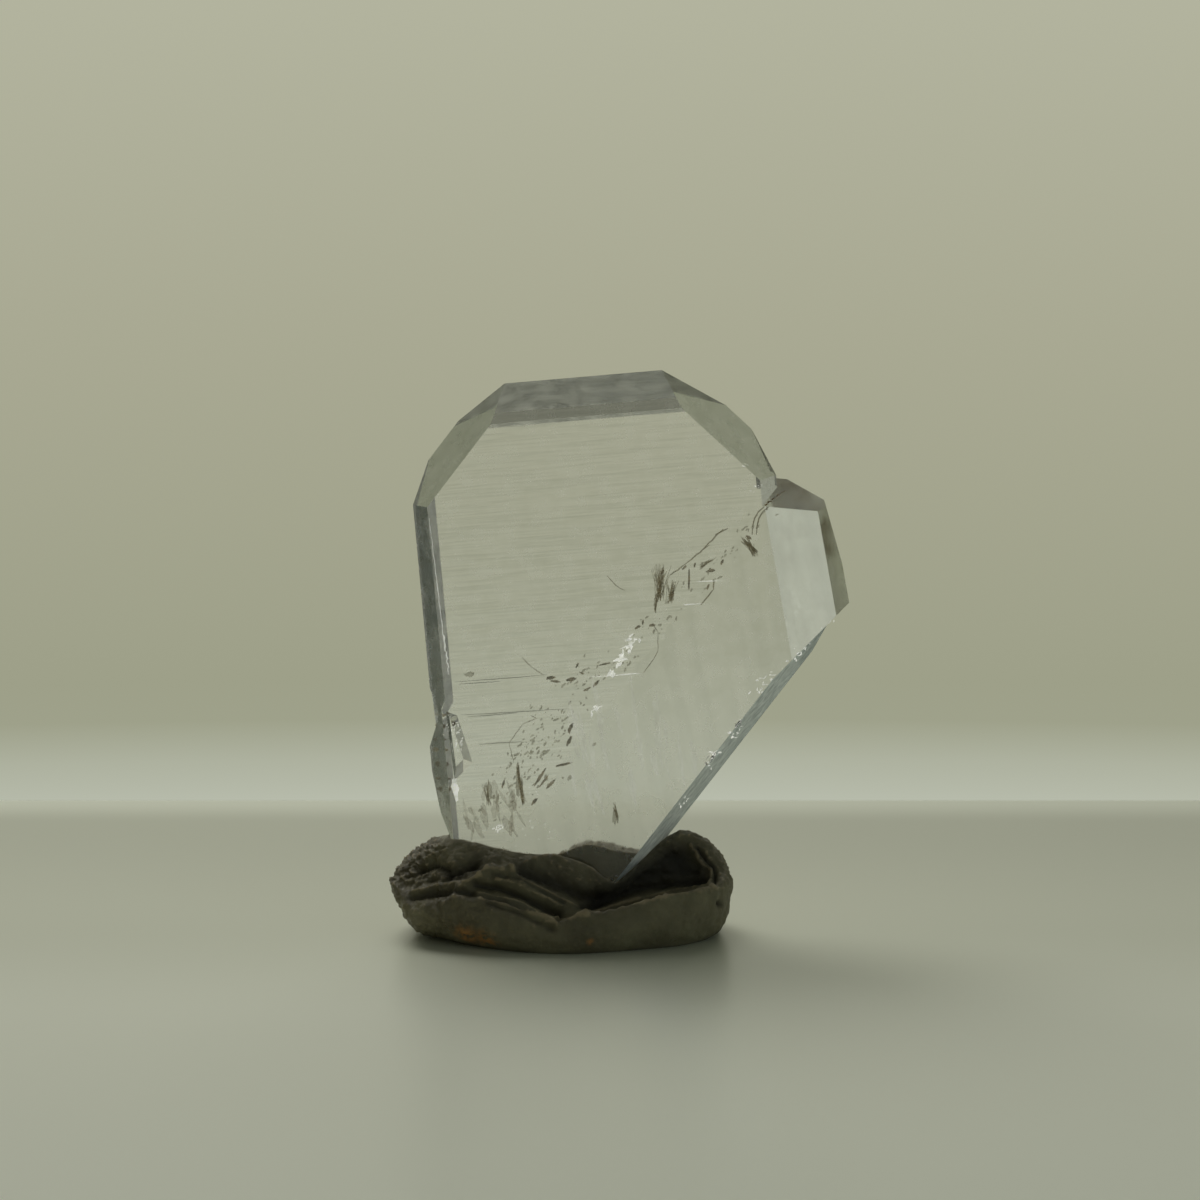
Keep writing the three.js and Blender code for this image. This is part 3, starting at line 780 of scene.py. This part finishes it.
# The lump stays as it is where it touches the crystal and the ground. Elsewhere it takes the folds on the
# viewer's side, soft lumps and crumbs all over, crags on its torn left end and drawn-out lines on its folds.
crystal_skin = BVHTree.FromObject(crystal, bpy.context.evaluated_depsgraph_get())
toward_viewer = Vector((0, -math.cos(view_rise), math.sin(view_rise)))
normals = [vertex.normal.copy() for vertex in tack.data.vertices]
# The hollow value is painted shade: how much darker each crease on the viewer's side is coloured.
painted_crease_shade = tack.data.attributes.new("hollow", "FLOAT", "POINT")
for vertex, normal in zip(tack.data.vertices, normals):
    spot = vertex.co / mm
    nearest = crystal_skin.find_nearest(vertex.co)
    clear = nearest[3] / mm
    ease = clamped((clear - 0.08) / 0.30)
    foot = clamped((spot.z - 0.03) / 0.25)
    seen_up = spot.z * math.cos(view_rise) + (spot.y - plate_y) * math.sin(view_rise)
    facing = clamped(normal.dot(toward_viewer) * 2.5)
    push = 0.0
    lit = 1.0
    if facing > 0:
        for fold_height, above, below, dark, line in folds:
            reach = reach_to_line(spot.x, seen_up, line)
            share = abs(reach) / (above if reach > 0 else below)
            if share < 4:
                push += facing * fold_height * math.exp(-(share ** 1.35))
                lit *= 1 - facing * dark * math.exp(-((share / 1.25) ** 2))
    left_end = clamped((-6.4 - spot.x) / 2.0)
    top = clamped((seen_up - 1.9) / 0.8)
    lumps = noise.fractal(spot * 0.9, 1.0, 2.0, 3) * 0.10
    crumb = noise.fractal(spot * 3.2 + Vector((7, 3, 1)), 0.8, 2.1, 4)
    crumb *= 0.05 + 0.06 * left_end + 0.07 * top
    crags = noise.ridged_multi_fractal(spot * 2.1, 0.9, 2.2, 5, 1.0, 2.0) - 2.9
    crags = max(-0.30, min(0.07, crags * 0.13)) * left_end * top
    drag = Vector((spot.x * 0.85 - seen_up * 0.53, 5 * (spot.x * 0.53 + seen_up * 0.85), 0.5 * spot.y))
    folded = clamped(min((spot.x + 7.5) / 1.5, (0.2 - spot.x) / 1.5, (seen_up - 1.0) / 0.5))
    pulled = noise.fractal(drag * 0.9, 0.9, 2.0, 3) * 0.10 * folded
    vertex.co += normal * (push + lumps + crumb + crags + pulled) * ease * foot * mm
    vertex.co.z -= 0.25 * left_end * max(0.0, (spot.z - 3.6) / 1.1) * ease * mm
    risen = vertex.co.z / mm * math.cos(view_rise) + (vertex.co.y / mm - plate_y) * math.sin(view_rise)
    vertex.co.z -= 0.85 * left_end * max(0.0, risen - 4.40) * mm
    vertex.co.x = max(cad_low[0], min(vertex.co.x, tack_right))
    vertex.co.y = max(cad_low[1], min(vertex.co.y, cad_high[1]))
    vertex.co.z = max(vertex.co.z, 0.0)
    painted_crease_shade.data[vertex.index].value = 1 - lit

# How far each point stands out of the ground round it, so the crests can be coloured paler than the hollows,
# a painted highlight.
ground = [vertex.co.copy() for vertex in tack.data.vertices]
joined = [edge.vertices[:] for edge in tack.data.edges]
for step in range(smoothing_rounds):
    sums = [Vector() for spot in ground]
    counts = [0] * len(ground)
    for one, other in joined:
        sums[one] += ground[other]
        sums[other] += ground[one]
        counts[one] += 1
        counts[other] += 1
    ground = [total / count for total, count in zip(sums, counts)]
crests = tack.data.attributes.new("crest", "FLOAT", "POINT")
for vertex, spot in zip(tack.data.vertices, ground):
    crests.data[vertex.index].value = (vertex.co - spot).dot(vertex.normal) / mm
make_active(tack)
bpy.ops.object.shade_smooth()

kneaded, nodes, links = new_finish("kneaded_tack")
shader = nodes["Principled BSDF"]
place = nodes.new("ShaderNodeTexCoord")
patches = grain(nodes, links, place.outputs["Object"], 420, 5, 0.6)
tint = nodes.new("ShaderNodeValToRGB")
tint.color_ramp.elements[0].position = 0.3
tint.color_ramp.elements[0].color = (0.120, 0.102, 0.052, 1)
tint.color_ramp.elements[1].position = 0.72
tint.color_ramp.elements[1].color = (0.29, 0.265, 0.155, 1)
links.new(patches, tint.inputs["Fac"])
rust = nodes.new("ShaderNodeMix")
rust.data_type = "RGBA"
rust.inputs["B"].default_value = (0.52, 0.25, 0.07, 1)
links.new(tint.outputs["Color"], rust.inputs["A"])
stain = None
for stain_place, stain_reach in [
    ((-6.9, -3.7, 0.72), 0.95), ((-6.0, -4.0, 0.60), 0.9), ((-1.24, -4.6, 0.66), 0.3),
]:
    from_stain = nodes.new("ShaderNodeVectorMath")
    from_stain.operation = "DISTANCE"
    from_stain.inputs[1].default_value = Vector(stain_place) * mm
    links.new(place.outputs["Object"], from_stain.inputs[0])
    near = ramp_between(nodes, links, from_stain.outputs["Value"], 0, stain_reach * mm, 1, 0)
    stain = near if stain is None else work_out(nodes, links, "MAXIMUM", stain, near)
speckle = ramp_between(nodes, links, grain(nodes, links, place.outputs["Object"], 2600, 3), 0.36, 0.54)
links.new(work_out(nodes, links, "MULTIPLY", stain, speckle), rust.inputs["Factor"])
# Painted shade: the creases are coloured near black by their hollow value.
depth = nodes.new("ShaderNodeAttribute")
depth.attribute_name = "hollow"
crease_shade_mix = nodes.new("ShaderNodeMix")
crease_shade_mix.data_type = "RGBA"
crease_shade_mix.inputs["B"].default_value = (0.022, 0.019, 0.010, 1)
standing = nodes.new("ShaderNodeAttribute")
standing.attribute_name = "crest"
# Painted highlight: the crests are coloured paler, as if lit from above.
crest_highlight = nodes.new("ShaderNodeMix")
crest_highlight.data_type = "RGBA"
crest_highlight.inputs["B"].default_value = (0.50, 0.40, 0.23, 1)
links.new(rust.outputs[2], crest_highlight.inputs["A"])
links.new(ramp_between(nodes, links, standing.outputs["Fac"], 0.030, 0.100, 0, 0.65), crest_highlight.inputs["Factor"])
links.new(crest_highlight.outputs[2], crease_shade_mix.inputs["A"])
links.new(depth.outputs["Fac"], crease_shade_mix.inputs["Factor"])
links.new(crease_shade_mix.outputs[2], shader.inputs["Base Color"])
across = nodes.new("ShaderNodeSeparateXYZ")
links.new(place.outputs["Object"], across.inputs["Vector"])
torn = ramp_between(nodes, links, across.outputs["X"], -8.9 * mm, -6.2 * mm, 1, 0)
fine_grain = grain(nodes, links, place.outputs["Object"], 5200, 6, 0.75)
coarse_grain = grain(nodes, links, place.outputs["Object"], 3600, 6, 0.8)
torn_grain = work_out(nodes, links, "MULTIPLY", coarse_grain, torn)
relief = nodes.new("ShaderNodeBump")
relief.inputs["Strength"].default_value = 1.0
relief.inputs["Distance"].default_value = 0.10 * mm
links.new(work_out(nodes, links, "ADD", fine_grain, torn_grain), relief.inputs["Height"])
links.new(relief.outputs["Normal"], shader.inputs["Normal"])
gloss = blend_of(nodes, links, torn, ramp_between(nodes, links, patches, 0.3, 0.7, 0.42, 0.66), 0.24)
links.new(gloss, shader.inputs["Roughness"])
tack.data.materials.clear()
tack.data.materials.append(kneaded)
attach(tack, "root")
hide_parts("mounting_putty")

# THE STAGE
# A pale satin floor, the camera at the photograph's angle, and soft light: a broad pale backdrop behind, a
# dim room in front, a soft box overhead and a cool window at the right.
deselect_all()
bpy.ops.mesh.primitive_plane_add(size=1, location=(0, -22 * mm, 0))
floor = bpy.context.object
floor.name = "floor"
floor.scale = (0.40, 0.107, 1)
settle(floor)
pale, nodes, links = new_finish("pale_floor")
shader = nodes["Principled BSDF"]
place = nodes.new("ShaderNodeTexCoord")
along = nodes.new("ShaderNodeSeparateXYZ")
links.new(place.outputs["Object"], along.inputs["Vector"])
depth = nodes.new("ShaderNodeMapRange")
depth.inputs["From Min"].default_value = -75 * mm
depth.inputs["From Max"].default_value = 31.5 * mm
links.new(along.outputs["Y"], depth.inputs["Value"])
shades = nodes.new("ShaderNodeValToRGB")
shades.color_ramp.interpolation = "EASE"
shades.color_ramp.elements[0].position = 0.0
shades.color_ramp.elements[0].color = (0.90, 0.93, 0.77, 1)
shades.color_ramp.elements[1].position = 1.0
shades.color_ramp.elements[1].color = (0.90, 0.93, 0.76, 1)
for position, colour in [
    (0.55, (0.88, 0.90, 0.74)), (0.72, (0.74, 0.76, 0.60)), (0.945, (0.62, 0.64, 0.50)),
]:
    shade = shades.color_ramp.elements.new(position)
    shade.color = (*colour, 1)
links.new(depth.outputs["Result"], shades.inputs["Fac"])
links.new(shades.outputs["Color"], shader.inputs["Base Color"])
shader.inputs["Roughness"].default_value = 0.30
shader.inputs["Specular IOR Level"].default_value = 0.45
floor.data.materials.append(pale)

aim = Vector((-0.78, 0.20, 15.70)) * mm
camera_data = bpy.data.cameras.new("camera")
camera_data.lens = 150
camera_data.sensor_width = 36
camera_data.clip_start = 0.005
camera_data.clip_end = 10
camera = bpy.data.objects.new("camera", camera_data)
bpy.context.collection.objects.link(camera)
picture_width = 0.0555
camera_reach = picture_width * camera_data.lens / camera_data.sensor_width
camera.location = aim + toward_viewer * camera_reach
camera.rotation_euler = (math.radians(90) - view_rise, 0, 0)
bpy.context.scene.camera = camera

world = bpy.data.worlds.new("soft_room")
bpy.context.scene.world = world
world.use_nodes = True
nodes, links = world.node_tree.nodes, world.node_tree.links
background = nodes["Background"]
direction = nodes.new("ShaderNodeTexCoord")
axes = nodes.new("ShaderNodeSeparateXYZ")
links.new(direction.outputs["Generated"], axes.inputs["Vector"])
rise = work_out(nodes, links, "MULTIPLY_ADD", axes.outputs["Z"], 0.5)
rise.node.inputs[2].default_value = 0.5
backdrop = nodes.new("ShaderNodeValToRGB")
stops = backdrop.color_ramp.elements
stops[0].position = 0.0
stops[0].color = (0.15, 0.15, 0.12, 1)
stops[1].position = 1.0
stops[1].color = (0.30, 0.30, 0.27, 1)
for degrees, colour in [
    (-26, (0.155, 0.158, 0.118)),
    (-16, (0.53, 0.55, 0.45)),
    (-11.6, (0.47, 0.495, 0.405)),
    (-11.12, (0.47, 0.495, 0.405)),
    (-10.3, (0.335, 0.345, 0.245)),
    (-6, (0.395, 0.395, 0.29)),
    (-2, (0.45, 0.455, 0.345)),
    (26, (0.42, 0.42, 0.35)),
    (36, (1.1, 1.1, 1.0)),
    (58, (1.1, 1.1, 1.0)),
    (68, (0.35, 0.35, 0.31)),
]:
    stop = stops.new((math.sin(math.radians(degrees)) + 1) / 2)
    stop.color = (*colour, 1)
links.new(rise, backdrop.inputs["Fac"])
turned = work_out(nodes, links, "DIVIDE", axes.outputs["X"],
                  work_out(nodes, links, "MAXIMUM", axes.outputs["Y"], 0.001))
right_wall = nodes.new("ShaderNodeMix")
right_wall.data_type = "RGBA"
right_wall.inputs["B"].default_value = (0.054, 0.060, 0.046, 1)
links.new(backdrop.outputs["Color"], right_wall.inputs["A"])
links.new(ramp_between(nodes, links, turned, 0.38, 0.80), right_wall.inputs["Factor"])
left_wall = nodes.new("ShaderNodeMix")
left_wall.data_type = "RGBA"
left_wall.inputs["B"].default_value = (0.12, 0.125, 0.10, 1)
links.new(right_wall.outputs[2], left_wall.inputs["A"])
links.new(ramp_between(nodes, links, turned, -0.66, -1.2), left_wall.inputs["Factor"])
front_wall = nodes.new("ShaderNodeMix")
front_wall.data_type = "RGBA"
front_wall.inputs["B"].default_value = (0.095, 0.10, 0.088, 1)
links.new(left_wall.outputs[2], front_wall.inputs["A"])
links.new(ramp_between(nodes, links, axes.outputs["Y"], -0.3, 0.35, 1, 0), front_wall.inputs["Factor"])
links.new(front_wall.outputs[2], background.inputs["Color"])

deselect_all()
bpy.ops.object.light_add(type="AREA", location=(-0.04, 0.06, 0.11))
overhead = bpy.context.object
overhead.name = "overhead"
overhead.data.shape = "DISK"
overhead.data.size = 0.08
overhead.data.energy = 0.042
overhead.rotation_euler = (aim - overhead.location).to_track_quat("-Z", "Y").to_euler()

deselect_all()
bpy.ops.object.light_add(type="AREA", location=(0.09, -0.10, 0.03))
window = bpy.context.object
window.name = "cool_window"
window.data.size = 0.06
window.data.color = (0.72, 0.88, 1.0)
window.data.energy = 0.012
window.rotation_euler = (aim - window.location).to_track_quat("-Z", "Y").to_euler()

bpy.context.scene.view_settings.view_transform = "Standard"
